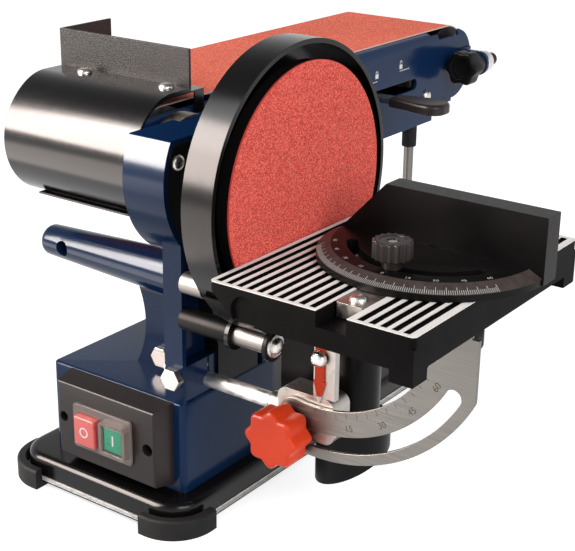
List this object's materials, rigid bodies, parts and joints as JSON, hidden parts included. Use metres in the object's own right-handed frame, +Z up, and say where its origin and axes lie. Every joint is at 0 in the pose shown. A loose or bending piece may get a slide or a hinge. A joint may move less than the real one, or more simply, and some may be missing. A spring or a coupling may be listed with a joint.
{
  "type": "belt and disc sander",
  "caption": "Bench belt and disc sander with a tilting table, a mitre gauge and a belt arm that swings upright.",
  "frame": {"origin": "on the floor under the middle of the overall box", "axes": "+X out of the disc towards the table, +Y back along the belt to the idler, +Z up"},
  "size_m": [0.3702, 0.4858, 0.315],
  "materials": {
    "blue_paint": "gloss",
    "black_paint": "gloss",
    "black_plastic": "satin",
    "clear_plastic": "gloss",
    "rubber": "matte",
    "zinc": "satin",
    "cast_alloy": "machined",
    "steel": "brushed",
    "bright_screws": "polished",
    "red_plastic": "satin",
    "green_plastic": "satin",
    "abrasive": "matte"
  },
  "bodies": {
    "base": {"base_pan": "black_paint", "rubber_feet": "rubber", "base_housing": "blue_paint", "drive_upright": "blue_paint", "bar_and_web": "blue_paint", "drive_cover": "black_plastic", "panel_screws": "bright_screws", "bearing_carrier": "zinc", "spindle_bearings": "steel", "toothed_belt": "black_plastic", "motor_body": "cast_alloy", "disc_guard": "black_paint", "guard_spacers": "steel", "dust_hood": "black_plastic", "dust_port": "black_plastic", "switch_box": "black_plastic", "switch_unit": "clear_plastic", "rod_clamp": "steel", "hex_bolts": "bright_screws", "prop_rod": "steel", "prop_cap": "rubber", "cable_gland": "black_plastic"},
    "spindle": {"spindle_shaft": "steel", "driven_pulley": "black_plastic", "drive_drum": "cast_alloy", "disc_plate": "cast_alloy", "abrasive_disc": "abrasive"},
    "motor_rotor": {"motor_shaft": "steel", "motor_pulley": "black_plastic"},
    "belt_arm": {"arm_channel": "blue_paint", "belt_tray": "blue_paint", "arm_screws": "bright_screws", "abrasive_belt": "abrasive", "drum_cover": "black_paint", "stop_fence": "black_paint", "lever_pivot": "steel", "tracking_bracket": "steel"},
    "tension_lever": {"lever_shank": "steel", "lever_grip": "black_plastic"},
    "idler_carriage": {"idler_fork": "steel", "tension_spring": "steel", "idler_axle": "steel"},
    "idler": {"idler_roller": "cast_alloy", "idler_bearings": "steel"},
    "tracking": {"tracking_knob": "black_plastic"},
    "table_support": {"table_rod": "steel", "end_block": "zinc", "pivot_post": "steel", "pivot_bolt": "steel", "tilt_pointer": "red_plastic", "pointer_screw": "bright_screws"},
    "tilt_clamp": {"tilt_knob": "red_plastic"},
    "table": {"work_table": "cast_alloy", "tilt_quadrant": "zinc"},
    "mitre_slide": {"mitre_bar": "zinc", "bar_screw": "bright_screws"},
    "mitre_swing": {"mitre_head": "black_paint"},
    "mitre_clamp": {"mitre_knob": "black_plastic"},
    "stop_key": {"stop_button": "red_plastic"},
    "start_key": {"start_button": "green_plastic"}
  },
  "joints": [
    {"name": "spindle_turn", "type": "hinge", "parent": "base", "child": "spindle", "pos_m": [-0.0334, -0.1479, 0.228], "axis": [1, 0, 0], "continuous": true},
    {"name": "rotor_turn", "type": "hinge", "parent": "base", "child": "motor_rotor", "pos_m": [-0.0334, -0.1319, 0.05], "axis": [1, 0, 0], "continuous": true},
    {"name": "arm_raise", "type": "hinge", "parent": "base", "child": "belt_arm", "pos_m": [-0.1269, -0.1479, 0.228], "axis": [1, 0, 0], "range_deg": [0, 90]},
    {"name": "lever_swing", "type": "hinge", "parent": "belt_arm", "child": "tension_lever", "pos_m": [-0.1229, 0.0901, 0.223], "axis": [0, 0, 1], "range_deg": [0, 32]},
    {"name": "idler_tension", "type": "slide", "parent": "belt_arm", "child": "idler_carriage", "axis": [0, -1, 0], "range_m": [0, 0.0025]},
    {"name": "idler_turn", "type": "hinge", "parent": "idler_carriage", "child": "idler", "pos_m": [-0.1269, 0.2097, 0.228], "axis": [1, 0, 0], "continuous": true},
    {"name": "tracking_turn", "type": "hinge", "parent": "belt_arm", "child": "tracking", "pos_m": [-0.0509, 0.2181, 0.231], "axis": [0, 1, 0], "range_deg": [-360, 360]},
    {"name": "table_reach", "type": "slide", "parent": "base", "child": "table_support", "axis": [1, 0, 0], "range_m": [0, 0.022]},
    {"name": "table_tilt", "type": "hinge", "parent": "table_support", "child": "table", "pos_m": [0.0609, -0.1629, 0.186], "axis": [0, 1, 0], "range_deg": [0, 45]},
    {"name": "tilt_clamp_turn", "type": "hinge", "parent": "table_support", "child": "tilt_clamp", "pos_m": [0.04279, -0.1734, 0.08328], "axis": [0, -1, 0], "range_deg": [0, 360]},
    {"name": "mitre_travel", "type": "slide", "parent": "table", "child": "mitre_slide", "axis": [0, 1, 0], "range_m": [-0.04, 0.06]},
    {"name": "mitre_angle", "type": "hinge", "parent": "mitre_slide", "child": "mitre_swing", "pos_m": [0.1166, -0.1379, 0.1993], "axis": [0, 0, 1], "range_deg": [-60, 60]},
    {"name": "mitre_clamp_turn", "type": "hinge", "parent": "mitre_slide", "child": "mitre_clamp", "pos_m": [0.1166, -0.1849, 0.1993], "axis": [0, 0, 1], "range_deg": [0, 360]},
    {"name": "stop_press", "type": "slide", "parent": "base", "child": "stop_key", "axis": [0, 1, 0], "range_m": [0, 0.003], "stiffness_N_per_m": 500},
    {"name": "start_press", "type": "slide", "parent": "base", "child": "start_key", "axis": [0, 1, 0], "range_m": [0, 0.003], "stiffness_N_per_m": 500}
  ],
  "couplings": [
    {"joint": "rotor_turn", "follows": "spindle_turn", "ratio": 2},
    {"joint": "idler_turn", "follows": "spindle_turn", "ratio": 1},
    {"joint": "lever_swing", "follows": "idler_tension", "rad_per_m": 223.4}
  ]
}
